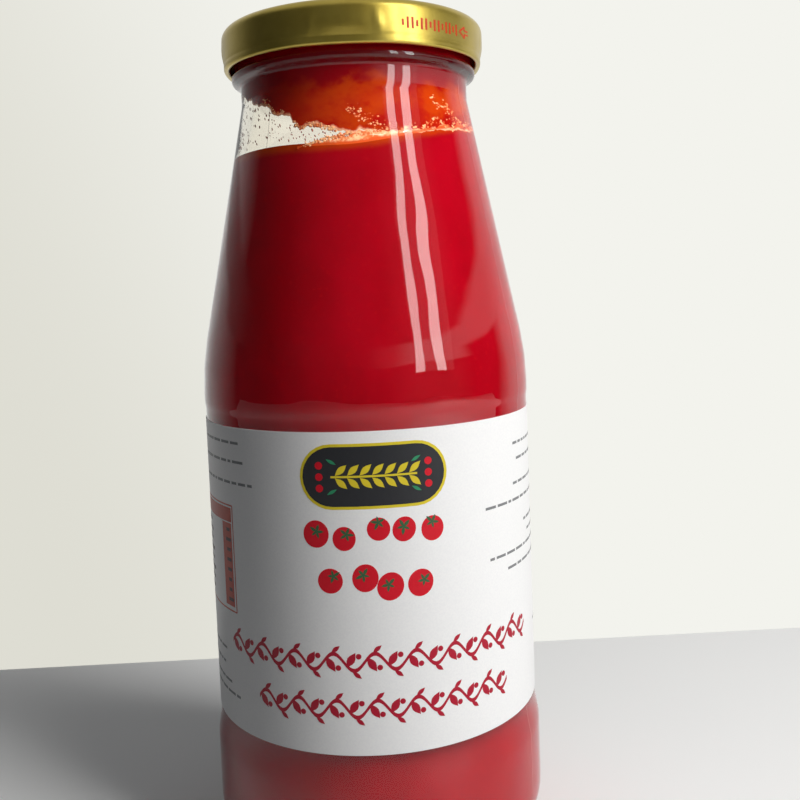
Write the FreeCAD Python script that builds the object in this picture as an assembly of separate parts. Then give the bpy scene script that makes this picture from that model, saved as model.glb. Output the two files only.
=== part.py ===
import FreeCAD, Part
import math
import os

# A bottle of passata: pressed glass, a twist-off lid of gold lacquered tinplate, a paper label
# and the passata inside. Millimetres, +Z up, the origin at the centre of the base, and the
# middle of the label towards -Y. Every piece but the fill's top is turned about the Z axis.

# Body of the bottle
glass_height = 202.9          # base to the top of the lip
body_radius = 40.85           # shoulder band, just above the label
heel_band_proud = 0.75        # the heel band stands out this far past the shoulder band
label_recess = 0.25           # the label panel lies this far inside the shoulder band
wall = 2.6                    # body and cone
base_thickness = 4.6          # from the bearing ring to the floor of the cavity
heel_radius = 13.0            # outer corner between side and base
cavity_corner_radius = 9.0    # inner corner between side and floor
bearing_ring_inner_radius = 25.6
bearing_ring_edge_radius = 2.5
punt_height = 3.2             # hollow under the base
punt_flat_radius = 16.0
punt_edge_radius = 14.0

# Heights up the body
heel_band_top = 29.0
heel_band_step = 5.3          # from the heel band in to the label panel
label_margin = 2.5            # bare panel above and below the label
label_height = 72.2
shoulder_step = 1.5           # from the label panel out to the shoulder band
shoulder_rise = 8.7           # shoulder band's bottom to the corner where the cone starts
shoulder_radius = 66.0        # long soft curve from the body into the cone
heel_band_edge_radius = 12.0  # both soft edges of the step below the panel
shoulder_band_edge_radius = 4.0

# Finish, the part of the neck that takes the lid, and the neck below it
finish_radius = 29.5          # plain wall that carries the threads
lip_radius = 1.6
bore_lip_radius = 1.2
bead_proud = 0.75             # transfer bead, past the finish wall
bead_height = 3.2
bead_slope_height = 0.9
bead_edge_radius = 1.0
bead_root_radius = 0.8        # where the neck meets the bead
bead_ledge_radius = 0.6       # where the finish wall rises from the bead
bead_clearance = 0.12         # bead to the lid's lower edge
neck_inset = 1.4              # neck inside the finish wall
neck_height = 4.8             # straight neck between the cone and the bead
neck_curve_radius = 6.0

# Threads of the finish and lugs of the lid
thread_count = 4
thread_span = 70.0            # degrees
thread_slope = 2.5            # degrees
thread_root_height = 1.9
thread_crest_height = 0.8
thread_proud = 1.15           # crest past the finish wall
thread_root_depth = 0.4       # how deep the ridge is let into the finish wall
lug_span = 13.0               # degrees
lug_height = 1.7
lug_foot = 0.1                # lugs start this far above the lid's edge
lug_reach_clearance = 0.5     # lug's tip to the finish wall
lug_clearance = 0.1           # lug to the underside of its thread
first_lug_azimuth = -93.0     # degrees, just left of the front
lug_place_on_thread = 0.8     # share of the half span, from the middle to the low end

# Lid
lid_height = 10.1
hem_clearance = 0.3           # hem to the crest of the threads
lid_thickness = 0.3
lid_seat_clearance = 0.02     # lid to lip
lid_shoulder_radius = 2.3
lid_panel_clearance = 1.0     # sunk panel's edge to the bore
lid_panel_drop = 1.0
lid_panel_step = 0.7          # width of the slope from panel to ring
button_radius = 9.5
button_rise = 0.45
button_slope = 1.2
button_edge_radius = 1.5
lid_bend_radius = 0.4         # bends between the sunk panel and the ring
hem_width = 1.35              # curled lower edge
hem_height = 1.6
hem_radius = 0.62
hem_tail = 0.7                # end of the curl, tucked back towards the skirt

# Label
label_thickness = 0.15
label_glue_gap = 0.03
label_gap_width = 12.0        # bare glass between the label's two ends
back_azimuth = 90.0           # degrees, the middle of that gap

# Passata
contents_clearance = 0.05
fill_drop = 31.5              # lip down to the level on the left
fill_slope = 0.2              # how steeply the right half rises
fill_bend = 5.0               # width of the bend between level and slope
fill_ripple = 0.35            # how far the low waves of its top rise and fall
fill_wave = 8.5               # a wave's length over two pi
fill_wave_start = 1.0         # where the waves are at the axis, in radians
fill_grid = 13                # rows and columns of heights across the fill

most_rounded = 0.95           # a rounding takes at most this share of the shorter side it meets

# Worked out from the sizes above
heel_band_radius = body_radius + heel_band_proud
panel_radius = body_radius - label_recess
cavity_radius = panel_radius - wall
neck_radius = finish_radius - neck_inset
bore_radius = neck_radius - wall
bead_radius = finish_radius + bead_proud
thread_radius = finish_radius + thread_proud
lug_radius = finish_radius + lug_reach_clearance
hem_inner_radius = thread_radius + hem_clearance
lid_radius = hem_inner_radius + hem_width
lid_panel_radius = bore_radius - lid_panel_clearance
panel_bottom = heel_band_top + heel_band_step
label_bottom = panel_bottom + label_margin
label_top = label_bottom + label_height
panel_top = label_top + label_margin
shoulder_corner = panel_top + shoulder_step + shoulder_rise
lid_top = glass_height + lid_seat_clearance + lid_thickness
lid_bottom = lid_top - lid_height
lug_bottom = lid_bottom + lug_foot
lug_top = lug_bottom + lug_height
bead_top = lid_bottom - bead_clearance
bead_bottom = bead_top - bead_height
neck_level = bead_bottom - neck_height
fill_height = glass_height - fill_drop


def outline_edges(corners):
    """Edges through corners (radius, height, rounding), each rounded corner as a tangent arc."""
    points = [FreeCAD.Vector(radius, 0, height) for radius, height, rounding in corners]
    edges = []
    pen = points[0]
    for index in range(1, len(points) - 1):
        corner = points[index]
        rounding = corners[index][2]
        back = (points[index - 1] - corner).normalize()
        onward = (points[index + 1] - corner).normalize()
        half_angle = back.getAngle(onward) / 2
        side_before = points[index - 1].distanceToPoint(corner)
        side_after = points[index + 1].distanceToPoint(corner)
        shorter_side = min(side_before, side_after)
        reach = min(rounding / math.tan(half_angle), most_rounded * shorter_side)
        rounding = reach * math.tan(half_angle)
        arc_start = corner + back * reach
        arc_end = corner + onward * reach
        middle_way = (back + onward).normalize()
        arc_middle = corner + middle_way * (rounding / math.sin(half_angle) - rounding)
        edges.append(Part.makeLine(pen, arc_start))
        edges.append(Part.Arc(arc_start, arc_middle, arc_end).toShape())
        pen = arc_end
    edges.append(Part.makeLine(pen, points[-1]))
    return edges


def turned(edges, start_angle=0.0, sweep=360.0):
    """Solid of revolution about Z from the edges of a closed section in the XZ plane."""
    section = Part.Face(Part.Wire(edges))
    section.rotate(FreeCAD.Vector(0, 0, 0), FreeCAD.Vector(0, 0, 1), start_angle)
    return section.revolve(FreeCAD.Vector(0, 0, 0), FreeCAD.Vector(0, 0, 1), sweep)


def closed_section(corners):
    """Edges of a closed polygon through corners (radius, height) in the XZ plane."""
    points = [FreeCAD.Vector(radius, 0, height) for radius, height in corners]
    return Part.makePolygon(points + points[:1]).Edges


def cavity_corners(top, gap=0.0):
    """Inside of the bottle from its floor up to a level, drawn in by a gap all round."""
    return [
        (0, base_thickness + gap, 0),
        (cavity_radius - gap, base_thickness + gap, cavity_corner_radius),
        (cavity_radius - gap, shoulder_corner, shoulder_radius - wall),
        (bore_radius - gap, neck_level, neck_curve_radius),
        (bore_radius - gap, top, 0),
    ]


def bottle_corners():
    """Outside of the bottle from under the base up to the lip."""
    return [
        (0, punt_height, 0),
        (punt_flat_radius, punt_height, punt_edge_radius),
        (bearing_ring_inner_radius, 0, bearing_ring_edge_radius),
        (heel_band_radius, 0, heel_radius),
        (heel_band_radius, heel_band_top, heel_band_edge_radius),
        (panel_radius, panel_bottom, heel_band_edge_radius),
        (panel_radius, panel_top, shoulder_band_edge_radius),
        (body_radius, panel_top + shoulder_step, shoulder_band_edge_radius),
        (body_radius, shoulder_corner, shoulder_radius),
        (neck_radius, neck_level, neck_curve_radius),
        (neck_radius, bead_bottom, bead_root_radius),
        (bead_radius, bead_bottom + bead_slope_height, bead_edge_radius),
        (bead_radius, bead_top - bead_slope_height, bead_edge_radius),
        (finish_radius, bead_top, bead_ledge_radius),
        (finish_radius, glass_height, lip_radius),
        (bore_radius, glass_height, bore_lip_radius),
    ]


def thread_ridge(azimuth):
    """One slanted ridge of the finish, its middle at an azimuth in degrees."""
    half_chord = finish_radius * math.sin(math.radians(thread_span / 2))
    half_rise = half_chord * math.tan(math.radians(thread_slope))
    middle = lug_top + lug_clearance + thread_root_height / 2 + half_rise
    root = finish_radius - thread_root_depth
    section = closed_section([
        (root, middle - thread_root_height / 2),
        (thread_radius, middle - thread_crest_height / 2),
        (thread_radius, middle + thread_crest_height / 2),
        (root, middle + thread_root_height / 2),
    ])
    ridge = turned(section, azimuth - thread_span / 2, thread_span)
    outward = FreeCAD.Vector(math.cos(math.radians(azimuth)), math.sin(math.radians(azimuth)), 0)
    ridge.rotate(FreeCAD.Vector(0, 0, middle), outward, thread_slope)
    return ridge


def glass_bottle():
    """Bottle wall with its lip, bead, threads, label panel, heel and hollow base."""
    inside = cavity_corners(glass_height)
    inside.reverse()
    edges = outline_edges(bottle_corners() + inside[1:])
    edges.append(Part.makeLine(FreeCAD.Vector(0, 0, base_thickness), FreeCAD.Vector(0, 0, punt_height)))
    bottle = turned(edges)
    for number in range(thread_count):
        lug_azimuth = first_lug_azimuth + number * 360 / thread_count
        bottle = bottle.fuse(thread_ridge(lug_azimuth + lug_place_on_thread * thread_span / 2))
    return bottle.removeSplitter().Solids[0]


def lid():
    """Pressed lid: button, sunk panel, raised ring, skirt, curled hem and inward lugs."""
    panel_level = lid_top - lid_panel_drop
    sheet = Part.Wire(outline_edges([
        (0, panel_level + button_rise, 0),
        (button_radius, panel_level + button_rise, button_edge_radius),
        (button_radius + button_slope, panel_level, button_edge_radius),
        (lid_panel_radius, panel_level, lid_bend_radius),
        (lid_panel_radius + lid_panel_step, lid_top, lid_bend_radius),
        (lid_radius, lid_top, lid_shoulder_radius),
        (lid_radius, lid_bottom, hem_radius),
        (hem_inner_radius, lid_bottom, hem_radius),
        (hem_inner_radius, lid_bottom + hem_height, hem_radius),
        (hem_inner_radius + hem_tail, lid_bottom + hem_height, 0),
    ]))
    # The path gives the outer face of the sheet; its thickness goes inwards.
    section = sheet.makeOffset2D(-lid_thickness, 0, True, True, False)
    pressed = turned(section.Edges)
    lug_root = hem_inner_radius + lid_thickness / 2
    lug_section = closed_section([
        (lug_radius, lug_bottom),
        (lug_root, lug_bottom),
        (lug_root, lug_top),
        (lug_radius, lug_top),
    ])
    for number in range(thread_count):
        lug_azimuth = first_lug_azimuth + number * 360 / thread_count
        pressed = pressed.fuse(turned(lug_section, lug_azimuth - lug_span / 2, lug_span))
    return pressed.removeSplitter().Solids[0]


def label():
    """Paper strip glued round the label panel, its two ends a little apart at the back."""
    inner_radius = panel_radius + label_glue_gap
    gap_angle = math.degrees(label_gap_width / inner_radius)
    section = closed_section([
        (inner_radius, label_bottom),
        (inner_radius + label_thickness, label_bottom),
        (inner_radius + label_thickness, label_top),
        (inner_radius, label_top),
    ])
    return turned(section, back_azimuth + gap_angle / 2, 360 - gap_angle)


def fill_level(x, y):
    """Height of the fill's top: level on the left, then rising to the right, with low ripples."""
    rise = fill_slope * (x + math.hypot(x, fill_bend)) / 2
    waves = math.sin(x / fill_wave + fill_wave_start) * math.cos(y / fill_wave)
    return fill_height + rise + fill_ripple * waves


def passata():
    """What fills the bottle, from the floor of the cavity to its uneven top."""
    brim = cavity_corners(neck_level, contents_clearance)[:-1]
    edges = outline_edges(brim)
    edges.append(Part.makeLine(FreeCAD.Vector(bore_radius - contents_clearance, 0, neck_level),
                               FreeCAD.Vector(0, 0, neck_level)))
    edges.append(Part.makeLine(FreeCAD.Vector(0, 0, neck_level),
                               FreeCAD.Vector(0, 0, base_thickness + contents_clearance)))
    full = turned(edges)
    reach = body_radius
    rows = []
    for row in range(fill_grid):
        x = reach * (2 * row / (fill_grid - 1) - 1)
        line = []
        for column in range(fill_grid):
            y = reach * (2 * column / (fill_grid - 1) - 1)
            line.append(FreeCAD.Vector(x, y, fill_level(x, y)))
        rows.append(line)
    top = Part.BSplineSurface()
    top.interpolate(rows)
    above = top.toShape().extrude(FreeCAD.Vector(0, 0, glass_height - fill_height))
    return full.cut(above).Solids[0]


os.makedirs("parts", exist_ok=True)
for node, shape in (
    ("glass_bottle", glass_bottle()),
    ("lid", lid()),
    ("label", label()),
    ("passata", passata()),
):
    height = round(shape.BoundBox.ZLength, 2)
    print(node, shape.ShapeType, shape.isValid(), round(shape.Volume, 1), "mm3, height", height)
    shape.exportStep("parts/" + node + ".step")
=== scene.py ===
import math
import random

import bpy
from mathutils import Matrix, Vector, noise


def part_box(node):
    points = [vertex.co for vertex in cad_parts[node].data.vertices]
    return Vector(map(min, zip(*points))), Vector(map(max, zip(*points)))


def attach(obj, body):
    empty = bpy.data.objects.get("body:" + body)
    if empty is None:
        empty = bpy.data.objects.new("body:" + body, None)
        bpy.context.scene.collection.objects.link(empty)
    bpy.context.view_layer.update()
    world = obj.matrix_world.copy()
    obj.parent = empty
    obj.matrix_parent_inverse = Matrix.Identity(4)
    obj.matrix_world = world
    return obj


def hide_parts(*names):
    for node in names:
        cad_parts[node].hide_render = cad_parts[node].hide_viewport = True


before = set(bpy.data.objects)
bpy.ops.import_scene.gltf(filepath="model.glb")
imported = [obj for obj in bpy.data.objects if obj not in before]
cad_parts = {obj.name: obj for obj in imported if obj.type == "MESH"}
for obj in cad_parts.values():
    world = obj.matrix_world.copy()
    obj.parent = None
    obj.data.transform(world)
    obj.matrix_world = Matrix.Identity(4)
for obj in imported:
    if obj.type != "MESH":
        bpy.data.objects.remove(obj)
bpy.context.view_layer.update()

# A bottle of passata with a gold twist-off lid and a paper label, on a plain pale floor.
# Metres, +Z up, the origin at the centre of the base, the middle of the label towards -Y.

glass_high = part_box("glass_bottle")[1]
lid_low, lid_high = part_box("lid")
label_low, label_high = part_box("label")
mm = 0.001
scene = bpy.context.scene
scene.view_settings.view_transform = "Standard"


# ---------------------------------------------------------------- camera
# The eye is a little above the middle of the cone and looks slightly down, rolled a little,
# so that the bottle leans and its base and the top of the lid run out of the frame.
eye_distance = 244.6 * mm
eye_height = label_high.z + 32.1 * mm
pan = math.radians(-2.11)
tilt = math.radians(90 - 4.17)
roll = math.radians(-2.21)
camera_data = bpy.data.cameras.new("camera")
camera_data.sensor_width = 36.0
camera_data.lens = 42.98
camera_data.shift_y = -0.0625
camera_data.clip_start = 0.01
camera = bpy.data.objects.new("camera", camera_data)
scene.collection.objects.link(camera)
turn_to_subject = Matrix.Rotation(pan, 4, "Z") @ Matrix.Rotation(tilt, 4, "X") @ Matrix.Rotation(roll, 4, "Z")
camera.matrix_world = Matrix.Translation((0, -eye_distance, eye_height)) @ turn_to_subject
scene.camera = camera


# ---------------------------------------------------------------- glass bottle
# Pressed clear glass: a round body with a recessed label panel, a long cone, and a finish
# with a bead and four slanted threads for the lid. One wall, outside and inside.
steps_round = 240
wall = 2.6 * mm
heel_band_radius = glass_high.x
body_radius = heel_band_radius - 0.75 * mm
panel_radius = body_radius - 0.25 * mm
glass_top = glass_high.z
punt_height = 3.2 * mm           # the hollow under the base, and the ring round it to stand on
punt_radius = 16 * mm
ring_radius = 25.6 * mm
heel_band_top = 29 * mm
panel_margin = 2.5 * mm          # between the label's edges and the panel's
panel_bottom = label_low.z - panel_margin
panel_top = label_high.z + panel_margin
panel_step = 1.5 * mm            # height in which the panel widens to the body
shoulder_corner = panel_top + 10.2 * mm
shoulder_rounding = 66 * mm
finish_radius = 29.5 * mm
neck_radius = finish_radius - 1.4 * mm
bead_radius = finish_radius + 0.75 * mm
bead_ledge = 0.9 * mm            # height in which the bead widens and narrows
bead_top = lid_low.z - 0.12 * mm
bead_bottom = bead_top - 3.2 * mm
neck_level = bead_bottom - 4.8 * mm
bore_radius = neck_radius - wall
cavity_radius = panel_radius - wall
floor_level = 4.6 * mm


def rounded(corners, arc_step=7.0, longest=3.0 * mm):
    """Points (radius, height) through corners (radius, height, rounding) with tangent arcs."""
    places = [Vector((radius, height)) for radius, height, rounding in corners]
    line = [places[0]]
    for index in range(1, len(places) - 1):
        corner = places[index]
        back = (places[index - 1] - corner).normalized()
        onward = (places[index + 1] - corner).normalized()
        half_angle = back.angle(onward) / 2
        rounding = corners[index][2]
        reach = rounding / math.tan(half_angle)
        start = corner + back * reach
        middle = corner + (back + onward).normalized() * (rounding / math.sin(half_angle))
        turned_by = math.pi - 2 * half_angle
        pieces = max(2, math.ceil(math.degrees(turned_by) / arc_step))
        sense = 1 if back.x * onward.y - back.y * onward.x < 0 else -1
        for count in range(pieces + 1):
            angle = sense * turned_by * count / pieces
            spoke = start - middle
            line.append(middle + Vector((
                spoke.x * math.cos(angle) - spoke.y * math.sin(angle),
                spoke.x * math.sin(angle) + spoke.y * math.cos(angle),
            )))
    line.append(places[-1])
    points = [line[0]]
    for place in line[1:]:
        gap = place - points[-1]
        parts = max(1, math.ceil(gap.length / longest))
        start = points[-1]
        points += [start + gap * (part + 1) / parts for part in range(parts)]
    return points


def turned(name, points, steps=steps_round):
    """A piece spun about Z from a line of points (radius, height), as on a lathe."""
    bpy.ops.object.select_all(action="DESELECT")
    bpy.ops.mesh.primitive_plane_add(size=mm, location=(points[0].x, 0, points[0].y))
    piece = bpy.context.object
    piece.name = name
    bpy.ops.object.transform_apply(location=True)
    bpy.ops.object.mode_set(mode="EDIT")
    bpy.ops.mesh.merge(type="CENTER")
    for here, there in zip(points, points[1:]):
        step = (there.x - here.x, 0, there.y - here.y)
        bpy.ops.mesh.extrude_vertices_move(TRANSFORM_OT_translate={"value": step})
    bpy.ops.mesh.select_all(action="SELECT")
    bpy.ops.mesh.spin(steps=steps, angle=2 * math.pi, center=(0, 0, 0), axis=(0, 0, 1))
    bpy.ops.mesh.select_all(action="SELECT")
    bpy.ops.mesh.remove_doubles(threshold=0.002 * mm)
    bpy.ops.mesh.normals_make_consistent(inside=False)
    bpy.ops.object.mode_set(mode="OBJECT")
    return piece


def only(*pieces):
    """Selects some pieces and nothing else, the first of them active."""
    bpy.ops.object.select_all(action="DESELECT")
    for piece in pieces:
        piece.select_set(True)
    bpy.context.view_layer.objects.active = pieces[0]


def smoothed(piece, degrees):
    """Shades a piece smooth except across edges sharper than an angle."""
    only(piece)
    bpy.ops.object.shade_smooth_by_angle(angle=math.radians(degrees))


def cavity_corners(gap, top):
    """Inside of the bottle, drawn in by a gap, from the floor up to a level."""
    return [
        (0, floor_level + gap, 0),
        (cavity_radius - gap, floor_level + gap, 9 * mm),
        (cavity_radius - gap, shoulder_corner, shoulder_rounding - wall),
        (bore_radius - gap, neck_level, 6 * mm),
        (bore_radius - gap, top, 0),
    ]


inside_line = cavity_corners(0, glass_top)
inside_line.reverse()
bottle = turned("bottle", rounded([
    (0, punt_height, 0),
    (punt_radius, punt_height, 14 * mm),
    (ring_radius, 0, 2.5 * mm),
    (heel_band_radius, 0, 13 * mm),
    (heel_band_radius, heel_band_top, 12 * mm),
    (panel_radius, panel_bottom, 12 * mm),
    (panel_radius, panel_top, 4 * mm),
    (body_radius, panel_top + panel_step, 4 * mm),
    (body_radius, shoulder_corner, shoulder_rounding),
    (neck_radius, neck_level, 6 * mm),
    (neck_radius, bead_bottom, 0.8 * mm),
    (bead_radius, bead_bottom + bead_ledge, 1.0 * mm),
    (bead_radius, bead_top - bead_ledge, 1.0 * mm),
    (finish_radius, bead_top, 0.6 * mm),
    (finish_radius, glass_top, 1.6 * mm),
    (bore_radius, glass_top, 1.2 * mm),
] + inside_line[1:]))

# Threads: four slanted ridges raised from the plain wall of the finish, one above each lug.
thread_height = 1.15 * mm
thread_half_width = 1.1 * mm
thread_half_span = math.radians(35)
thread_ends = 0.2                # share of the half span over which a thread runs out
thread_rise = math.tan(math.radians(2.5))
thread_level = lid_low.z + 4.6 * mm
first_lug = math.radians(-93)
first_thread = first_lug + math.radians(28)


def ridge(across, half_width):
    """1 at the middle of a ridge, 0 past its half width, smooth between."""
    share = min(abs(across) / half_width, 1.0)
    return 0.5 + 0.5 * math.cos(math.pi * share)


for vertex in bottle.data.vertices:
    place = vertex.co
    radius = math.hypot(place.x, place.y)
    if place.z < bead_top + 0.5 * mm or place.z > glass_top - 2 * mm or radius < finish_radius - 0.3 * mm:
        continue
    azimuth = math.atan2(place.y, place.x)
    for number in range(4):
        off = (azimuth - first_thread - number * math.pi / 2 + math.pi) % math.tau - math.pi
        if abs(off) > thread_half_span:
            continue
        level = thread_level + off * finish_radius * thread_rise
        run_out = thread_half_span * thread_ends
        ends = ridge(max(abs(off) - thread_half_span + run_out, 0), run_out)
        lift = thread_height * ends * ridge(place.z - level, thread_half_width)
        place.x *= (radius + lift) / radius
        place.y *= (radius + lift) / radius
smoothed(bottle, 40)


def srgb(red, green, blue):
    """A colour given as it looks, 0 to 255, in the linear values that a shader takes."""
    parts = [part / 255 for part in (red, green, blue)]
    linear = [((part + 0.055) / 1.055) ** 2.4 if part > 0.0405 else part / 12.92 for part in parts]
    return (*linear, 1.0)


class Socket:
    """The output of a shader node. Sums with it add Math nodes to its material."""

    def __init__(self, finish, output):
        self.finish = finish
        self.output = output

    def math(self, operation, *values):
        return self.finish.math(operation, *values)

    def __add__(self, other):
        return self.math("ADD", self, other)

    def __radd__(self, other):
        return self.math("ADD", other, self)

    def __sub__(self, other):
        return self.math("SUBTRACT", self, other)

    def __rsub__(self, other):
        return self.math("SUBTRACT", other, self)

    def __mul__(self, other):
        return self.math("MULTIPLY", self, other)

    def __rmul__(self, other):
        return self.math("MULTIPLY", other, self)

    def __truediv__(self, other):
        return self.math("DIVIDE", self, other)

    def __abs__(self):
        return self.math("ABSOLUTE", self)


class Finish:
    """A material made of nodes, or a world's if one is given."""

    def __init__(self, name, world=None):
        self.material = world or bpy.data.materials.new(name)
        self.material.use_nodes = True
        self.tree = self.material.node_tree
        self.tree.nodes.clear()
        self.end = self.tree.nodes.new("ShaderNodeOutputWorld" if world else "ShaderNodeOutputMaterial")

    def node(self, kind, settings=None, values=None, output=0):
        """Adds a node, sets its settings, then its sockets, and returns one of its outputs."""
        node = self.tree.nodes.new("ShaderNode" + kind)
        for key, value in (settings or {}).items():
            if key == "stops":
                while len(node.color_ramp.elements) < len(value):
                    node.color_ramp.elements.new(1.0)
                for stop, (place, colour) in zip(node.color_ramp.elements, value):
                    stop.position = place
                    stop.color = colour
            else:
                setattr(node, key, value)
        for key, value in (values or {}).items():
            if isinstance(value, Socket):
                self.tree.links.new(value.output, node.inputs[key])
            else:
                node.inputs[key].default_value = value
        return Socket(self, node.outputs[output])

    def math(self, operation, *values):
        return self.node("Math", {"operation": operation}, dict(enumerate(values)))

    def place(self, scale=(1, 1, 1), turn=(0, 0, 0)):
        """Object coordinates through a Mapping node."""
        spot = self.node("TexCoord", output="Object")
        return self.node("Mapping", values={"Vector": spot, "Scale": scale, "Rotation": turn})

    def noise(self, scale, detail=3.0, roughness=0.55, at=None):
        """Noise of a scale in features per metre."""
        return self.node("TexNoise", values={
            "Vector": at or self.place(), "Scale": scale, "Detail": detail, "Roughness": roughness})

    def mix(self, share, first, second):
        """Two colours blended by a share."""
        return self.node("Mix", {"data_type": "RGBA"}, {0: share, 6: first, 7: second}, output=2)

    def ramp(self, value, *stops):
        """A colour picked along a ramp of (place, colour) stops."""
        return self.node("ValToRGB", {"stops": stops}, {0: value})

    def between(self, value, low, high):
        """0 below low, 1 above high, smooth between."""
        return self.node("MapRange", {"interpolation_type": "SMOOTHSTEP"}, {0: value, 1: low, 2: high})

    def bump(self, height, depth, strength=1.0, over=None):
        """Relief of a height field, its depth in metres."""
        values = {"Height": height, "Distance": depth, "Strength": strength}
        if over:
            values["Normal"] = over
        return self.node("Bump", values=values)

    def principled(self, **values):
        """A Principled shader; underscores in the names stand for spaces."""
        spaced = {key.replace("_", " "): value for key, value in values.items()}
        return self.node("BsdfPrincipled", values=spaced)

    def surface(self, shader):
        self.tree.links.new(shader.output, self.end.inputs["Surface"])
        return self.material


def wear(piece, material):
    """Gives a piece its one material."""
    piece.data.materials.clear()
    piece.data.materials.append(material)


# Clear glass, with the slow waves of a pressed wall and a faint mould seam down both sides.
# Lamps shine straight through it on to what it holds.
glass = Finish("clear_glass")
waves = glass.noise(52.0, detail=1.0, at=glass.place(scale=(1.0, 1.0, 0.9)))
ripples = glass.noise(150.0, detail=0.5, at=glass.place(scale=(1.0, 1.0, 0.6)))
seam_place = glass.node("SeparateXYZ", values={0: glass.place(turn=(0, 0, math.radians(28)))}, output="Y")
seam = 1 - glass.between(abs(seam_place), 0.05 * mm, 0.3 * mm)
swell = glass.bump(waves, 0.4 * mm)
rippled = glass.bump(ripples, 0.02 * mm, over=swell)
relief = glass.bump(seam, 0.08 * mm, 0.8, over=rippled)
clear = glass.principled(
    Base_Color=srgb(254, 251, 245), Roughness=0.0, IOR=1.5, Transmission_Weight=1.0, Normal=relief)
lamp_ray = glass.node("LightPath", output="Is Shadow Ray")
passing = glass.node("BsdfTransparent", values={"Color": srgb(250, 252, 251)})
wear(bottle, glass.surface(glass.node("MixShader", values={0: lamp_ray, 1: clear, 2: passing})))
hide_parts("glass_bottle")
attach(bottle, "root")


# ---------------------------------------------------------------- passata
# Smooth tomato passata that fills the bottle to its cone. It settled thick and slanting, higher
# to the right, with a thin paler rim where it climbs the glass.
bite = 0.07 * mm                 # how far it reaches into the glass, so that no air shows
fill_level = glass_top - 31.5 * mm
fill_rise = 0.2
fill_bend = 5.0 * mm
climb_height = 0.7 * mm
climb_width = 1.6 * mm
wave_height = 0.35 * mm
wave_length = 8.5 * mm           # for one radian of the wave
cone_slope = (cavity_radius - bore_radius) / (neck_level - shoulder_corner)


def level_at(x, y):
    """Height of the fill's top, without its folds."""
    wave = wave_height * math.sin(x / wave_length + 1) * math.cos(y / wave_length)
    return fill_level + fill_rise * (x + math.hypot(x, fill_bend)) / 2 + wave


def wall_radius(height):
    """Inner radius of the cone at a height."""
    return cavity_radius - cone_slope * (height - shoulder_corner)


fill_start = 150 * mm            # above it the side follows the slanting top
rim_depth = 10 * mm
top_rings = 44
side_rows = 30
fill_line = rounded(cavity_corners(-bite, glass_top)[:3] + [(wall_radius(fill_start) + bite, fill_start, 0)])
rim_radius = wall_radius(fill_level) + bite
for row in range(1, side_rows + 1):
    height = fill_start + (fill_level - fill_start) * row / side_rows
    fill_line.append(Vector((wall_radius(height) + bite, height)))
for ring in range(1, top_rings + 1):
    share = 1 - (1 - ring / top_rings) ** 0.8 if ring < top_rings else 1.0
    fill_line.append(Vector((rim_radius * (1 - share), fill_level)))
passata = turned("passata", fill_line)

# The top is folded and climbs the glass; under_rim grows from 0 at the rim to 1 further down.
under_rim = passata.data.attributes.new("under_rim", "FLOAT", "POINT")
for vertex in passata.data.vertices:
    place = vertex.co
    if place.z < fill_start:
        under_rim.data[vertex.index].value = 1.0
        continue
    radius = math.hypot(place.x, place.y)
    on_top = place.z > fill_level - 0.01 * mm and radius < rim_radius - 0.02 * mm
    level = level_at(place.x, place.y)
    depth = 0.0
    if on_top:
        from_rim = rim_radius - radius
        fold = noise.fractal(place / (7 * mm), 0.7, 2.0, 4) * 0.5 * mm
        fold += abs(noise.noise(place / (12 * mm) + Vector((3, 1, 0)))) * 0.8 * mm
        climb = climb_height * math.exp(-from_rim / climb_width)
        grown = wall_radius(level) / wall_radius(fill_level)
        place.z = level + fold * (1 - math.exp(-from_rim / (3 * mm))) + climb
        place.x *= grown
        place.y *= grown
    else:
        share = (place.z - fill_start) / (fill_level - fill_start)
        height = fill_start + (level + climb_height - fill_start) * share
        depth = level + climb_height - height
        place.z = height
        grown = (wall_radius(height) + bite) / radius
        place.x *= grown
        place.y *= grown
    under_rim.data[vertex.index].value = min(depth / rim_depth, 1.0)
smoothed(passata, 60)

# It touches the glass all round, so it has no shine of its own there.
tomato = Finish("passata_red")
clouds = tomato.noise(55.0, detail=4.0, at=tomato.place(scale=(1, 1, 0.6)))
grain = tomato.noise(1400.0, detail=2.0)
depth = tomato.node("Attribute", {"attribute_name": "under_rim"}, output="Fac")
rim_noise = depth + (tomato.noise(160.0, detail=3.0) - 0.5) * 0.12
pulp = tomato.mix(tomato.between(clouds, 0.35, 0.7), srgb(137, 1, 16), srgb(147, 2, 21))
near_rim = tomato.mix(tomato.between(rim_noise, 0.05, 0.26), srgb(160, 50, 5), pulp)
flecked = tomato.mix(tomato.between(grain, 0.62, 0.7) * 0.2, near_rim, srgb(180, 26, 22))
soft = tomato.bump(tomato.noise(260.0, detail=3.0), 0.15 * mm, 0.5)
wear(passata, tomato.surface(tomato.principled(
    Base_Color=flecked, Roughness=0.32, Specular_IOR_Level=0.0, Normal=soft)))
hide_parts("passata")
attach(passata, "root")


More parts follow.
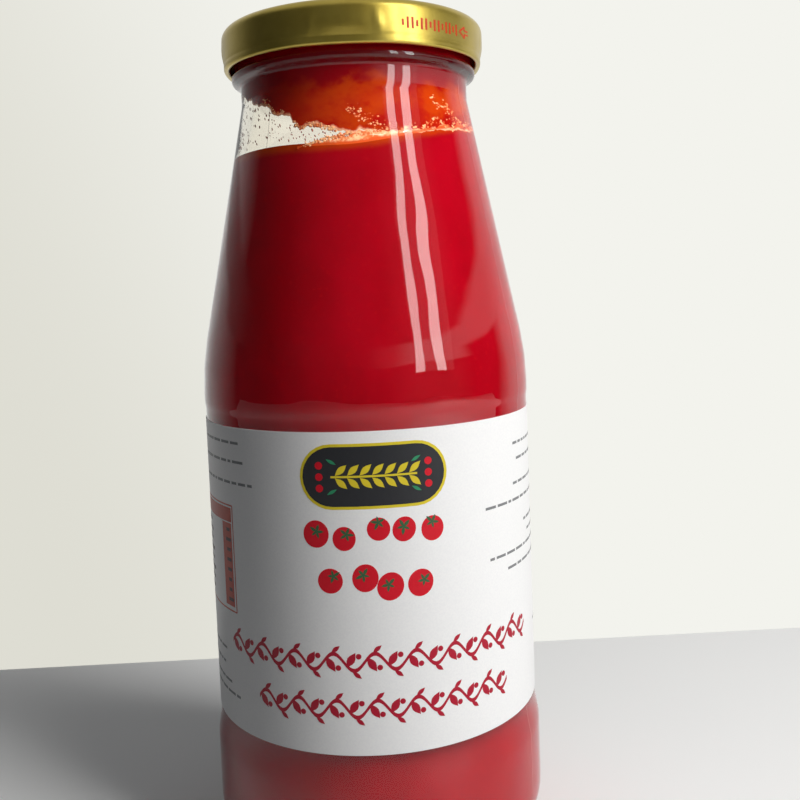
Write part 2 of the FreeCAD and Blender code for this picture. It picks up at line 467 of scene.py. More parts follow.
# ---------------------------------------------------------------- lid
# Twist-off closure pressed from gold lacquered tinplate: sunk panel with a safety button, raised
# ring, skirt with a curled hem, and four lugs pressed in from the hem, which crease the skirt.
lid_radius = lid_high.x
lid_top = lid_high.z
lid_bottom = lid_low.z
sheet = 0.2 * mm
hem_width = 1.35 * mm
hem_height = 1.6 * mm
panel_edge = bore_radius - 1.0 * mm
panel_level = lid_top - 1.0 * mm
button_radius = 9.5 * mm
button_level = panel_level + 0.45 * mm
lid = turned("lid", rounded([
    (0, button_level, 0),
    (button_radius, button_level, 1.5 * mm),
    (button_radius + 1.2 * mm, panel_level, 1.5 * mm),
    (panel_edge, panel_level, 0.4 * mm),
    (panel_edge + 0.7 * mm, lid_top, 0.4 * mm),
    (lid_radius, lid_top, 2.3 * mm),
    (lid_radius, lid_bottom + 2.4 * mm, 2.0 * mm),
    (lid_radius - 0.05 * mm, lid_bottom + 1.8 * mm, 1.0 * mm),
    (lid_radius, lid_bottom + 1.2 * mm, 1.5 * mm),
    (lid_radius, lid_bottom, 0.6 * mm),
    (lid_radius - hem_width, lid_bottom, 0.6 * mm),
    (lid_radius - hem_width, lid_bottom + hem_height, 0.6 * mm),
    (lid_radius - hem_width + 0.7 * mm, lid_bottom + hem_height, 0),
], arc_step=12, longest=0.9 * mm), steps=288)

lug_depth = 0.6 * mm
lug_half_span = math.radians(25)
lug_full_height = 1.2 * mm       # pressed in fully up to here, then less and less
lug_fade = 3.6 * mm
crease_depth = 0.14 * mm
crease_span = math.radians(15)
crease_half_width = math.radians(2.6)
crease_lean = 0.006 / mm         # radians by which the creases draw together as they rise
crease_middle = 4.6 * mm
crease_reach = 4.2 * mm
for vertex in lid.data.vertices:
    place = vertex.co
    radius = math.hypot(place.x, place.y)
    if place.z > lid_top - 2.5 * mm or radius < lid_radius - hem_width - 0.3 * mm:
        continue
    azimuth = math.atan2(place.y, place.x)
    for number in range(4):
        off = (azimuth - first_lug - number * math.pi / 2 + math.pi) % math.tau - math.pi
        lifted = place.z - lid_bottom
        press = ridge(off, lug_half_span) * ridge(max(lifted - lug_full_height, 0), lug_fade)
        crease_at = crease_span - crease_lean * lifted
        crease = sum(ridge(off - side * crease_at, crease_half_width) for side in (-1, 1))
        crease *= ridge(lifted - crease_middle, crease_reach)
        inwards = lug_depth * press - crease_depth * crease
        place.x *= (radius - inwards) / radius
        place.y *= (radius - inwards) / radius


def thickened(piece, depth, side):
    """Gives a sheet its depth: side -1 grows it behind its face, 1 in front, between in part."""
    only(piece)
    growth = piece.modifiers.new("growth", "SOLIDIFY")
    growth.thickness = depth
    growth.offset = side
    bpy.ops.object.modifier_apply(modifier="growth")


thickened(lid, sheet, -1)
smoothed(lid, 50)

gold = Finish("gold_lacquer")
brushed = gold.noise(900.0, detail=2.0, at=gold.place(scale=(1, 1, 0.08)))
worn = gold.noise(140.0, detail=4.0)
orange_peel = gold.bump(gold.noise(700.0, detail=2.0), 0.02 * mm, 0.35)
dented = gold.bump(gold.noise(60.0, detail=1.0), 0.12 * mm, 0.3, over=orange_peel)
lacquer = gold.mix(gold.between(worn, 0.3, 0.75), srgb(200, 178, 82), srgb(186, 163, 70))
wear(lid, gold.surface(gold.principled(
    Base_Color=lacquer, Metallic=0.85, Roughness=0.28 + 0.08 * brushed, Normal=dented,
    Coat_Weight=0.25, Coat_Roughness=0.12)))
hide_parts("lid")
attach(lid, "root")


# ---------------------------------------------------------------- label
# A strip of coated white paper glued round the panel, its ends a little apart at the back.
label_radius = panel_radius + 0.03 * mm
paper = 0.15 * mm
label_height = label_high.z - label_low.z
gap_width = 12 * mm
strip_length = math.tau * label_radius - gap_width
bpy.ops.object.select_all(action="DESELECT")
bpy.ops.mesh.primitive_grid_add(x_subdivisions=220, y_subdivisions=44, size=1.0)
label = bpy.context.object
label.name = "label"


def wrapped(piece, radius, base, raised=0.0):
    """Bends a flat piece, drawn in arc length and height, round the bottle or its lid."""
    for vertex in piece.data.vertices:
        along, height, out = vertex.co
        angle = along / radius
        reach = radius + out + raised
        vertex.co = (reach * math.sin(angle), -reach * math.cos(angle), base + height)


for vertex in label.data.vertices:
    vertex.co.x *= strip_length
    vertex.co.y = (vertex.co.y + 0.5) * label_height
wrapped(label, label_radius, label_low.z)
thickened(label, paper, 1)
smoothed(label, 40)
bpy.ops.object.mode_set(mode="EDIT")
bpy.ops.mesh.select_all(action="SELECT")
bpy.ops.mesh.normals_make_consistent(inside=False)
bpy.ops.object.mode_set(mode="OBJECT")

card = Finish("label_paper")
fibres = card.noise(2200.0, detail=3.0)
cockle = card.noise(38.0, detail=2.0, at=card.place(scale=(1, 1, 0.5)))
paper_relief = card.bump(cockle, 0.16 * mm, 0.35, over=card.bump(fibres, 0.008 * mm, 0.3))
white = card.mix(card.between(fibres, 0.35, 0.65), srgb(240, 240, 241), srgb(244, 244, 244))
wear(label, card.surface(card.principled(
    Base_Color=white, Roughness=0.42, Specular_IOR_Level=0.4, Normal=paper_relief)))
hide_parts("label")
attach(label, "root")

# Everything printed on the label is a thin coat of ink, laid flat by its place along the strip
# and its height, measured from the middle of the front and from the label's top edge.
ink_depth = 0.03 * mm
coat_step = 0.7 * ink_depth      # each further coat of ink stands this much prouder
layer_step = 0.006 * mm          # and so much keeps crossing shapes of one ink apart
ink_radius = label_radius + paper
crimson = srgb(176, 2, 42)
tomato_red = srgb(214, 4, 34)
leaf_green = srgb(52, 92, 58)
badge_black = srgb(26, 27, 32)
badge_yellow = srgb(226, 204, 46)
text_grey = srgb(128, 130, 132)
facts_red = srgb(196, 84, 66)
cut_every = 1.5 * mm             # flat ink is cut this often, so that it bends round the bottle


def arc(degrees):
    """Length along the strip of an angle from the middle of the front."""
    return math.radians(degrees) * ink_radius


# Stamps: flat shapes one unit wide, which are copied, stretched and joined into prints.
bpy.ops.object.select_all(action="DESELECT")
bpy.ops.mesh.primitive_circle_add(vertices=28, radius=0.5, fill_type="NGON")
dot = bpy.context.object
bpy.ops.mesh.primitive_plane_add(size=1.0)
bar = bpy.context.object
bpy.ops.mesh.primitive_circle_add(vertices=18, radius=0.5, fill_type="NGON")
leaf = bpy.context.object
for vertex in leaf.data.vertices:
    share = abs(vertex.co.x) * 2
    vertex.co.y *= (1 - share ** 2.2) * 0.62 + 0.1 * (1 - share)
bpy.ops.mesh.primitive_grid_add(x_subdivisions=160, y_subdivisions=1, size=1.0)
ribbon = bpy.context.object
stamps = (dot, bar, leaf, ribbon)


def stamped(stamp, x, y, width, height, turn=0.0, layer=0):
    """A copy of a flat shape, width by height, turned, with its middle at (x, y)."""
    piece = stamp.copy()
    piece.data = stamp.data.copy()
    place = Matrix.Translation((x, y, layer * layer_step)) @ Matrix.Rotation(turn, 4, "Z")
    piece.data.transform(place @ Matrix.Diagonal((width, height, 1, 1)))
    scene.collection.objects.link(piece)
    return piece


def inked(name, shapes, colour, coats=1, radius=ink_radius, base=label_high.z):
    """Joins flat shapes into one print of one colour and lays it round the bottle."""
    only(*shapes)
    bpy.ops.object.join()
    piece = shapes[0]
    piece.name = name
    left = min(vertex.co.x for vertex in piece.data.vertices)
    right = max(vertex.co.x for vertex in piece.data.vertices)
    bpy.ops.object.mode_set(mode="EDIT")
    cut = left + cut_every
    while cut < right:
        bpy.ops.mesh.select_all(action="SELECT")
        bpy.ops.mesh.bisect(plane_co=(cut, 0, 0), plane_no=(1, 0, 0))
        cut += cut_every
    bpy.ops.object.mode_set(mode="OBJECT")
    wrapped(piece, radius, base, raised=(coats - 1) * coat_step)
    thickened(piece, ink_depth, 0.4)
    ink = Finish(name + "_ink")
    tone = ink.noise(900.0, detail=3.0)
    deeper = tuple(part * 0.86 for part in colour[:3]) + (1.0,)
    wear(piece, ink.surface(ink.principled(
        Base_Color=ink.mix(tone, colour, deeper), Roughness=0.4 + 0.1 * tone, Specular_IOR_Level=0.4)))
    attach(piece, "root")
    return piece


# A dark badge with a yellow rim, and in it a plain sprig of leaves between two rows of dots.
badge_width = arc(46.5)
badge_height = 14.4 * mm
badge_x = arc(1.2)
badge_y = -9.8 * mm
badge_rim = 1.3 * mm             # taken off the whole width and height
leaf_pitch = 2.7 * mm


def capsule(width, height):
    """Three flat shapes that make a bar with round ends."""
    straight = width - height
    return [
        stamped(bar, badge_x, badge_y, straight, height),
        stamped(dot, badge_x - straight / 2, badge_y, height, height, layer=1),
        stamped(dot, badge_x + straight / 2, badge_y, height, height, layer=1),
    ]


inked("badge_rim", capsule(badge_width, badge_height), badge_yellow)
inked("badge_ground", capsule(badge_width - badge_rim, badge_height - badge_rim), badge_black, coats=2)
sprig = [stamped(bar, badge_x, badge_y, 19 * mm, 0.45 * mm)]
for step in range(-3, 4):
    for side in (-1, 1):
        sprig.append(stamped(
            leaf, badge_x + step * leaf_pitch + 0.9 * mm, badge_y + side * 1.45 * mm,
            3.6 * mm, 2.0 * mm, side * math.radians(42), layer=1))
inked("badge_sprig", sprig, badge_yellow, coats=3)
inked("badge_berries", [
    stamped(dot, badge_x + side * 12.1 * mm, badge_y + row * 2.5 * mm, 1.7 * mm, 1.7 * mm)
    for side in (-1, 1) for row in (-1, 0, 1)
], tomato_red, coats=3)
inked("badge_tips", [
    stamped(leaf, badge_x + side * 9.3 * mm, badge_y + row * 3.3 * mm, 2.6 * mm, 1.0 * mm, row * side * 0.5)
    for side in (-1, 1) for row in (-1, 1)
], srgb(40, 140, 96), coats=3)

# Nine cherry tomatoes in two loose rows, each with a five-pointed calyx.
random.seed(11)
fruit = []
calyxes = []
for number in range(9):
    in_row = number // 2
    lower = number % 2
    x = arc(-17.5 + 9.3 * in_row + 4.6 * lower + random.uniform(-0.9, 0.9))
    y = (-22.6 - 11.2 * lower + random.uniform(-1.6, 1.6)) * mm
    across = random.uniform(5.1, 5.9) * mm
    tall = across * random.uniform(0.98, 1.12)
    lean = random.uniform(-0.6, 0.6)
    fruit.append(stamped(dot, x, y, across, tall, lean))
    head_x = x + random.uniform(-0.8, 0.8) * mm
    head_y = y + random.uniform(0.3, 1.5) * mm
    for point in range(5):
        turn = lean + point * math.tau / 5
        size = random.uniform(1.5, 2.2) * mm
        calyxes.append(stamped(
            leaf, head_x + math.cos(turn) * size * 0.42, head_y + math.sin(turn) * size * 0.42,
            size, size * 0.5, turn, layer=point % 2))
inked("printed_tomatoes", fruit, tomato_red)
inked("printed_calyxes", calyxes, leaf_green, coats=2)


# Two ornamental bands stand where such a label has its title: a waving stem with a large leaf, a
# small leaf and a berry in each bend.
def vine(start, end, middle, bends):
    """A running vine between two angles, its middle line at a height, with a number of bends."""
    left = arc(start)
    right = arc(end)
    bend = (right - left) / bends
    stem = stamped(ribbon, (left + right) / 2, middle, right - left, 0.95 * mm)
    for vertex in stem.data.vertices:
        vertex.co.y += 1.9 * mm * math.sin((vertex.co.x - left) / bend * math.pi)
    shapes = [stem]
    for number in range(bends):
        x = left + (number + 0.5) * bend
        up = 1 - number % 2 * 2
        shapes.append(stamped(
            leaf, x - 0.15 * bend, middle - up * 0.5 * mm, 4.0 * mm, 2.5 * mm,
            up * math.radians(-58), layer=1))
        shapes.append(stamped(dot, x + 0.22 * bend, middle - up * 1.3 * mm, 1.25 * mm, 1.25 * mm, layer=1))
        shapes.append(stamped(
            leaf, x + 0.12 * bend, middle + up * 2.9 * mm, 2.6 * mm, 1.4 * mm,
            up * math.radians(38), layer=1))
    return shapes


inked("upper_vine", vine(-56, 61, -51.0 * mm, 18), crimson)
inked("lower_vine", vine(-42, 47.5, -61.6 * mm, 14), crimson)


# Small print, shown as ragged grey lines, to both sides, and a ruled table on the left.
def small_lines(side, lines):
    """Rows of short bars outwards to one side; each line gives the angle of its inner end in
    degrees, then its height and its length in millimetres."""
    shapes = []
    for inner, height, length in lines:
        done = 0.0
        while done < length * mm:
            word = min(random.uniform(1.2, 4.4) * mm, length * mm - done)
            x = arc(inner) + side * (done + word / 2)
            shapes.append(stamped(bar, x, height * mm, word, 0.62 * mm))
            done += word + 0.7 * mm
    return shapes


random.seed(5)
left_lines = [(-47, -3.6, 20), (-45, -8.0, 23), (-41, -13.0, 26)]
left_lines += [(-62, -54.3, 14), (-64, -58.0, 15), (-59, -62.0, 18), (-53, -64.6, 22)]
right_lines = [(56, -7.2, 18), (58.5, -11.0, 16), (55.5, -16.7, 19), (39.5, -20.6, 31)]
right_lines += [(64, -26.6, 14), (68, -29.6, 12), (41, -32.6, 30), (50.5, -36.2, 23), (75, -54.0, 12)]
inked("small_print", small_lines(-1, left_lines) + small_lines(1, right_lines), text_grey)

facts_right = arc(-52.5)
facts_width = 26 * mm
facts_top = -18.6 * mm
facts_height = 25.4 * mm
rule_width = 0.35 * mm
facts_x = facts_right - facts_width / 2
facts_y = facts_top - facts_height / 2
ruling = [
    stamped(bar, facts_x, facts_top, facts_width, rule_width),
    stamped(bar, facts_x, facts_top - facts_height, facts_width, rule_width),
    stamped(bar, facts_right, facts_y, rule_width, facts_height, layer=1),
    stamped(bar, facts_right - facts_width, facts_y, rule_width, facts_height, layer=1),
    stamped(bar, facts_x, facts_top - 2.3 * mm, facts_width - 1.2 * mm, 3.4 * mm),
    stamped(bar, facts_right - 3.1 * mm, facts_y - 1.6 * mm, 4.6 * mm, facts_height - 5.4 * mm),
]
inked("facts_table", ruling, facts_red)
facts = []
fact_stroke = 0.8 * mm
values_x = facts_right - 2.4 * mm
names_x = facts_right - facts_width + 7 * mm
for row in range(8):
    height = facts_top - (5.9 + row * 2.4) * mm
    facts.append(stamped(bar, values_x, height, random.uniform(1.4, 2.6) * mm, fact_stroke))
    facts.append(stamped(bar, names_x, height, random.uniform(6, 11) * mm, fact_stroke))
inked("facts_rows", facts, srgb(70, 52, 52), coats=2)


# ---------------------------------------------------------------- marks on the lid
# Red lacquer printed on the skirt: a row of long and short ticks and the outline of an arrow that
# shows which way the lid turns.
mark_height = 2.5 * mm
mark_middle = lid_bottom + 4.6 * mm
mark_stroke = 0.45 * mm
tick_width = 0.55 * mm
arrow_length = 2.1 * mm
shaft_length = 1.6 * mm
marks = []


def lid_arc(degrees):
    """Length round the lid's skirt of an angle from the middle of the front."""
    return math.radians(degrees) * lid_radius


for number in range(14):
    tick = mark_height if number % 3 else mark_height * 0.55
    marks.append(stamped(bar, lid_arc(20.5 + number * 2.1), 0, tick_width, tick))
arrow_tip = lid_arc(50.0)
arrow_back = arrow_tip + arrow_length
slant = math.atan2(mark_height / 2, arrow_length)
for side in (-1, 1):
    marks.append(stamped(
        bar, (arrow_tip + arrow_back) / 2, side * mark_height / 4,
        math.hypot(arrow_length, mark_height / 2), mark_stroke, side * slant, layer=1))
    marks.append(stamped(bar, arrow_back, side * mark_height * 0.34, mark_stroke, mark_height * 0.36))
    marks.append(stamped(
        bar, arrow_back + shaft_length / 2, side * 0.4 * mm, shaft_length, mark_stroke * 0.8))
inked("lid_marks", marks, srgb(200, 58, 10), radius=lid_radius, base=mark_middle)
for stamp in stamps:
    bpy.data.objects.remove(stamp)


# ---------------------------------------------------------------- film and froth in the neck
# Above the fill the shaken passata clings to the glass: a thin red film under the lid with a
# ragged lower edge, a pale frothy border where it meets the fill, and dark dried specks.
film_depth = 0.25 * mm
froth_depth = 1.6 * film_depth
froth_start = -27
froth_end = 104
# Edges as (degrees from the front, millimetres above the fill's low side).
film_edge = [
    (-180, 18.0), (-110, 17.5), (-80, 16.0), (-67, 13.8), (-59, 11.9), (-48.5, 11.0), (-41.5, 8.4),
    (-32.7, 7.9), (-30, 5.9), (-25.6, 4.4), (-21.5, 5.4), (-17.5, 4.9), (-11.4, 3.8), (-6, 3.2),
    (-1.6, 2.9), (3.8, 3.4), (14, 2.4), (30, 3.0), (46, 3.8), (58, 4.2), (75, 4.8), (95, 6.0),
    (120, 16.0), (180, 18.0),
]
froth_edge = [
    (-27, 0.0), (-20, 0.7), (-12, 1.2), (-5, 1.9), (2, 3.2), (8, 3.4), (14, 2.9), (22, 2.6), (30, 3.6),
    (38, 3.9), (46, 5.2), (52, 4.6), (58, 5.9), (66, 5.2), (78, 6.4), (92, 6.0), (104, 3.2),
]


def inner_radius(height):
    """Inside of the cone and the neck at a height."""
    return max(wall_radius(height), bore_radius)


def along(places, degrees):
    """A height read from a list of places, smooth between them."""
    for (start, low), (end, high) in zip(places, places[1:]):
        if start <= degrees <= end:
            share = (degrees - start) / (end - start)
            return low + (high - low) * share * share * (3 - 2 * share)
    return places[0][1] if degrees < places[0][0] else places[-1][1]


def on_wall(degrees, height, inwards):
    """A point on the inner wall, drawn in towards the axis."""
    radius = inner_radius(height) - inwards
    angle = math.radians(degrees)
    return Vector((radius * math.sin(angle), -radius * math.cos(angle), height))


def coated(name, columns, rows, start, end, low, high, depth):
    """A thin coat on the inner wall between two angles and two edges, given as functions of the
    angle. Its attribute from_edge is the height above the lower edge in millimetres."""
    bpy.ops.object.select_all(action="DESELECT")
    bpy.ops.mesh.primitive_grid_add(x_subdivisions=columns, y_subdivisions=rows, size=1.0)
    piece = bpy.context.object
    piece.name = name
    from_edge = piece.data.attributes.new("from_edge", "FLOAT", "POINT")
    for vertex in piece.data.vertices:
        degrees = start + (end - start) * (vertex.co.x + 0.5)
        bottom = low(degrees)
        share = (vertex.co.y + 0.5) ** 1.6      # rows lie closer at the ragged lower edge
        height = bottom + (high(degrees) - bottom) * share
        from_edge.data[vertex.index].value = (height - bottom) / mm
        vertex.co = on_wall(degrees, height, -bite)
    thickened(piece, depth, -1)
    smoothed(piece, 50)
    return piece


def ragged(degrees, size, amount):
    """Uneven height along an edge, the same at both ends of the round."""
    spot = Vector((math.sin(math.radians(degrees)), math.cos(math.radians(degrees)), 0)) * 28
    return noise.fractal(spot / size, 0.8, 2.0, 5) * amount


def film_bottom(degrees):
    """Ragged lower edge of the film."""
    return fill_level + (along(film_edge, degrees) + ragged(degrees, 2.2, 0.55)) * mm


def froth_top(degrees):
    """Ragged upper edge of the froth."""
    return fill_level + (along(froth_edge, degrees) + ragged(degrees, 1.1, 0.35)) * mm


def fill_at(degrees):
    """Height of the fill where it meets the glass."""
    meeting = on_wall(degrees, fill_level, 0)
    return level_at(meeting.x, meeting.y) + climb_height


def film_top(degrees):
    """The film ends level, under the lip."""
    return glass_top - 1.4 * mm


def froth_bottom(degrees):
    """The froth starts a little under the fill's rim."""
    return fill_at(degrees) - 0.6 * mm


film = coated("film", 720, 26, -180, 180, film_bottom, film_top, film_depth)
coat = Finish("passata_film")
edge = coat.node("Attribute", {"attribute_name": "from_edge"}, output="Fac")
blotches = coat.noise(95.0, detail=5.0, roughness=0.6, at=coat.place(scale=(1, 1, 1.3)))
fine = coat.noise(520.0, detail=4.0)
height = coat.node("SeparateXYZ", values={0: coat.place()}, output="Z")
across = coat.node("SeparateXYZ", values={0: coat.place()}, output="X")
# Painted shade: the film is darker high up, in the shadow under the lid.
painted_lid_shade = coat.between(height + (blotches - 0.5) * 0.014, fill_level + 13 * mm, fill_level + 17 * mm)
# Painted shade: the film is darker to the left, away from the light.
painted_left_shade = 1 - coat.between(across + (blotches - 0.5) * 0.03, -0.022, -0.004)
# Partly painted light: the film's blotches vary its red, and their orange stands for light shining through
# the thin coat.
body = coat.mix(coat.between(blotches, 0.40, 0.60), srgb(168, 52, 7), srgb(150, 16, 8))
deep = coat.mix(painted_left_shade * 0.85, body, srgb(146, 6, 12))
shaded = coat.mix(painted_lid_shade, deep, srgb(134, 1, 15))
fringe = 1 - coat.between(edge + (fine - 0.5) * 1.8, 0.1, 0.75)
wear(film, coat.surface(coat.principled(
    Base_Color=coat.mix(fringe * 0.8, shaded, srgb(238, 178, 140)), Roughness=0.35,
    Specular_IOR_Level=0.0, Normal=coat.bump(fine, 0.1 * mm, 0.4))))
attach(film, "root")

border = coated("froth_border", 420, 10, froth_start, froth_end, froth_bottom, froth_top, froth_depth)
foam = Finish("froth")
edge = foam.node("Attribute", {"attribute_name": "from_edge"}, output="Fac")
curls = foam.noise(420.0, detail=4.0, roughness=0.65)
streaks = foam.noise(900.0, detail=2.0, at=foam.place(scale=(0.5, 0.5, 1.4)))
cream = foam.mix(foam.between(curls, 0.42, 0.6), srgb(222, 112, 58), srgb(244, 194, 148))
pale = foam.mix(foam.between(streaks, 0.5, 0.66) * 0.7, cream, srgb(252, 236, 208))
soaked = foam.mix(1 - foam.between(edge + (curls - 0.5) * 1.2, 0.4, 1.2), pale, srgb(206, 84, 34))
wear(border, foam.surface(foam.principled(
    Base_Color=soaked, Roughness=0.4, Specular_IOR_Level=0.05, Normal=foam.bump(curls, 0.15 * mm, 0.6))))
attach(border, "root")


def scattered(name, faces, places):
    """Many small flattened balls on the inner wall, joined; each place is
    (degrees, level, width, height of the ball, depth, slant)."""
    bpy.ops.object.select_all(action="DESELECT")
    bpy.ops.mesh.primitive_ico_sphere_add(subdivisions=faces, radius=0.5)
    ball = bpy.context.object
    copies = []
    for degrees, level, wide, tall, deep, slant in places:
        copy = ball.copy()
        copy.data = ball.data.copy()
        spot = on_wall(degrees, level, deep * 0.25 - 0.04 * mm)
        face = Matrix.Rotation(math.radians(degrees), 4, "Z") @ Matrix.Rotation(slant, 4, "Y")
        copy.data.transform(Matrix.Translation(spot) @ face @ Matrix.Diagonal((wide, deep, tall, 1)))
        scene.collection.objects.link(copy)
        copies.append(copy)
    only(*copies)
    bpy.ops.object.join()
    copies[0].name = name
    bpy.data.objects.remove(ball)
    smoothed(copies[0], 80)
    return copies[0]


random.seed(23)
bubbles = []
# Froth ropes: how far each spreads, then its course as (degrees, millimetres above the low side).
ropes = [
    (0.8, [(-4, 8.6), (-1, 8.0), (3, 6.6), (7, 5.2), (11, 4.2), (16, 4.4)]),
    (0.3, [(-24, 0.5), (-17, 1.2), (-10, 1.9), (-3, 2.8), (4, 2.3), (9, 3.2), (14, 2.8)]),
    (0.3, [(20, 3.0), (26, 4.6), (30, 3.4), (35, 4.6), (42, 6.6), (47, 5.0),
           (52, 4.2), (57, 7.4), (63, 5.4), (72, 6.6)]),
    (0.3, [(-30, 6.2), (-26, 4.3), (-22, 5.4), (-18, 4.9), (-13, 4.1), (-8, 3.6)]),
    (0.4, [(-52, 12.6), (-47, 11.6), (-42, 9.0), (-36, 8.6)]),
    (0.8, [(40, 10.4), (46, 9.6), (51, 8.8), (56, 7.6)]),
]
for spread, rope in ropes:
    for (start, low), (end, high) in zip(rope, rope[1:]):
        count = max(4, round((end - start) * 3.4))
        for number in range(count):
            share = number / count
            degrees = start + (end - start) * share + random.gauss(0, 0.35)
            level = fill_level + (low + (high - low) * share + random.gauss(0, spread)) * mm
            size = random.uniform(0.3, 1.0) * mm
            bubbles.append((degrees, level, size, size * random.uniform(0.6, 1.0), size * 0.5, 0.0))
for number in range(110):
    degrees = random.uniform(-22, 78)
    level = fill_at(degrees) + abs(random.gauss(0, 1.3)) * mm
    size = random.uniform(0.2, 0.55) * mm
    bubbles.append((degrees, level, size, size, size * 0.5, 0.0))
froth = scattered("froth_bubbles", 1, bubbles)
blow = Finish("froth_bubble")
shine = blow.noise(800.0, detail=2.0)
wear(froth, blow.surface(blow.principled(
    Base_Color=blow.mix(blow.between(shine, 0.4, 0.6), srgb(206, 106, 58), srgb(234, 180, 132)),
    Roughness=0.3, Specular_IOR_Level=0.15)))
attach(froth, "root")

# Dried specks: most of them on the bare glass to the left, drawn out and slanting, some behind.
random.seed(31)
dry = []
speck_depth = 0.12 * mm
while len(dry) < 130:
    degrees = -74 + 76 * random.random() ** 1.7
    low = fill_at(degrees) + 0.7 * mm
    high = film_bottom(degrees) - 0.5 * mm
    level = random.uniform(low, high)
    if high - low < 0.6 * mm:
        continue
    size = random.uniform(0.12, 0.38) * mm * (1.5 if degrees < -45 else 1.0)
    tall = size * random.uniform(1.1, 2.6)
    dry.append((degrees, level, size, tall, speck_depth, -math.radians(random.uniform(8, 34))))
for number in range(60):
    degrees = 180 + random.uniform(-60, 60)
    size = random.uniform(0.15, 0.4) * mm
    level = random.uniform(fill_level + 4 * mm, fill_level + 17 * mm)
    dry.append((degrees, level, size, size * 1.3, speck_depth, 0.0))
specks = scattered("dried_specks", 1, dry)
crust = Finish("dried_passata")
wear(specks, crust.surface(crust.principled(
    Base_Color=crust.mix(crust.noise(300.0), srgb(112, 40, 32), srgb(168, 84, 62)), Roughness=0.5)))
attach(specks, "root")


# ---------------------------------------------------------------- stage and light
# A pale table top that ends a little behind the bottle, and a room with its window on the right.
floor_back = 0.113
floor_front = -1.2
floor_width = 2.4
bpy.ops.object.select_all(action="DESELECT")
bpy.ops.mesh.primitive_plane_add(size=1.0)
table = bpy.context.object
table.name = "table"
for vertex in table.data.vertices:
    vertex.co = (vertex.co.x * floor_width, floor_back if vertex.co.y > 0 else floor_front, 0)
ground = Finish("table_top")
mottle = ground.noise(9.0, detail=4.0)
# Pale to look at and in the mirror of the glass; the light that it throws up is held low.
seen_directly = ground.math("MAXIMUM", ground.node("LightPath", output="Is Camera Ray"),
                            ground.node("LightPath", output="Is Glossy Ray"))
pale_top = ground.mix(mottle, srgb(247, 248, 248), srgb(251, 251, 250))
wear(table, ground.surface(ground.principled(
    Base_Color=ground.mix(seen_directly, srgb(120, 120, 120), pale_top), Roughness=0.5)))


def lamp(name, radiance, width, height, azimuth, elevation, mirrored):
    """A soft box that faces the bottle, which either lights it or is only mirrored in it;
    azimuth runs from the front towards the right."""
    distance = 0.9
    around = math.radians(azimuth)
    up = math.radians(elevation)
    data = bpy.data.lights.new(name, "AREA")
    data.shape = "RECTANGLE"
    data.size = width
    data.size_y = height
    data.energy = radiance * math.pi * width * height
    data.color = (1.0, 0.99, 0.97)
    box = bpy.data.objects.new(name, data)
    scene.collection.objects.link(box)
    towards = Vector((math.sin(around) * math.cos(up), -math.cos(around) * math.cos(up), math.sin(up)))
    box.location = Vector((0, 0, label_high.z)) + towards * distance
    box.rotation_mode = "QUATERNION"
    box.rotation_quaternion = towards.to_track_quat("Z", "Y")
    box.visible_glossy = mirrored
    box.visible_diffuse = not mirrored


# A dim pane and two bright strips are only mirrored, as the window's streaks on the glass. The
# side lamp gives the light.
lamp("window_pane", 0.35, 0.50, 0.74, 48, 26, mirrored=True)
lamp("window_left", 7.2, 0.10, 0.74, 36, 26, mirrored=True)
lamp("window_right", 8.0, 0.13, 0.74, 52, 26, mirrored=True)
lamp("side", 10.0, 0.42, 0.8, 55, 34, mirrored=False)

room = Finish("room", bpy.data.worlds.new("room"))
scene.world = room.material
way = room.node("TexCoord", output="Generated")
right = room.node("SeparateXYZ", values={0: way}, output="X")
back = room.node("SeparateXYZ", values={0: way}, output="Y")
high = room.node("SeparateXYZ", values={0: way}, output="Z")
round_room = room.math("ARCTAN2", right, 0 - back) / math.tau + 0.5


def grey(level):
    return (level, level * 0.995, level * 0.97, 1.0)


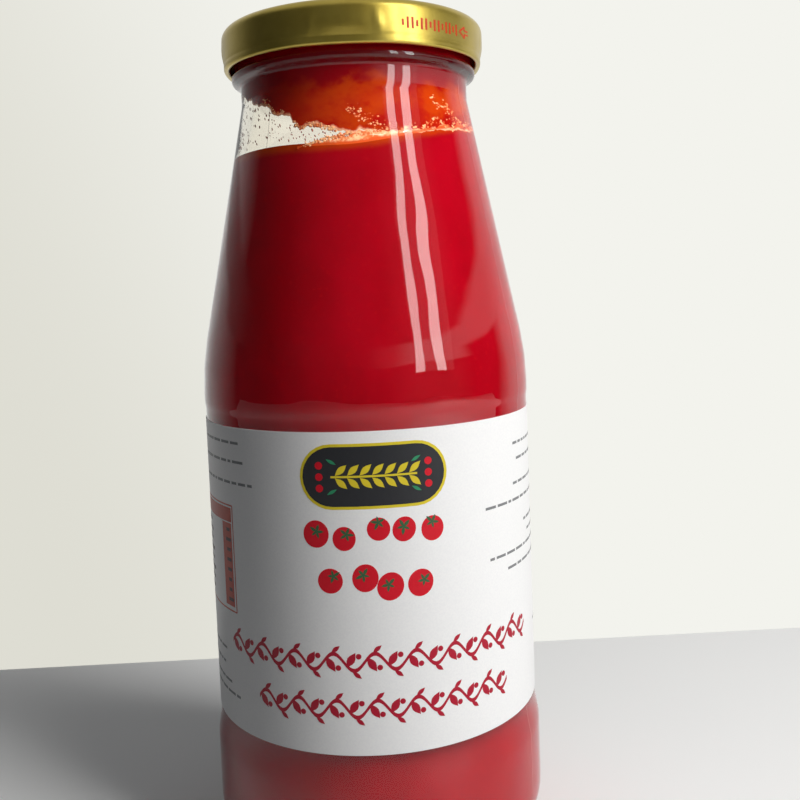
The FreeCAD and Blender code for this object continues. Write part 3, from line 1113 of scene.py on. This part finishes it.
# Round the room from behind, by the left and the front, to behind again: once for the glass, and
# once for the low strip of wall that the lid's skirt mirrors.
glass_view = room.ramp(
    round_room, (0.0, grey(0.85)), (0.10, grey(0.7)), (0.17, grey(0.42)), (0.22, grey(0.04)),
    (0.33, grey(0.02)), (0.37, grey(0.04)), (0.54, grey(0.05)), (0.60, grey(0.16)), (0.68, grey(0.14)),
    (0.72, grey(0.03)), (0.79, grey(0.03)), (0.83, grey(0.75)), (1.0, grey(0.85)))
lid_view = room.ramp(
    round_room, (0.0, grey(0.5)), (0.094, grey(0.42)), (0.167, grey(0.2)), (0.244, grey(0.05)),
    (0.30, grey(0.02)), (0.37, grey(0.05)), (0.447, grey(0.05)), (0.508, grey(0.06)), (0.55, grey(0.25)),
    (0.589, grey(0.95)), (0.705, grey(1.0)), (0.79, grey(0.7)), (0.903, grey(0.85)), (1.0, grey(0.6)))
lid_strip = room.between(high, 0.14, 0.17) * (1 - room.between(high, 0.23, 0.26))
walls = room.mix(lid_strip, glass_view, lid_view)
ceiling = room.mix(room.between(high, 0.5, 0.85), walls, grey(0.5))
# Painted shade on the backdrop: the wall is darker to the left and lower down.
painted_wall_light = room.between(right + 0.35 * high, -0.42, 0.1)
wall_with_painted_shade = room.mix(painted_wall_light, srgb(222, 221, 211), srgb(243, 243, 237))
seen = room.node("Background", values={"Color": wall_with_painted_shade, "Strength": 1.0})
mirrored = room.node("Background", values={"Color": ceiling, "Strength": 1.0})
fill = room.node("Background", values={"Color": (0.95, 0.97, 1.0, 1.0), "Strength": 0.12})
# The eye meets the wall, through the glass too; mirrors meet the room.
path = room.node("LightPath", output="Is Camera Ray")
through = room.node("LightPath", output="Is Transmission Ray")
glossy = room.node("LightPath", output="Is Glossy Ray")
scattered_before = room.node("LightPath", output="Diffuse Depth")
direct = room.math("LESS_THAN", scattered_before, 0.5)
shows_wall = room.math("MAXIMUM", path, through * direct)
shows_room = room.node("MixShader", values={0: glossy * direct, 1: fill, 2: mirrored})
room.surface(room.node("MixShader", values={0: shows_wall, 1: shows_room, 2: seen}))
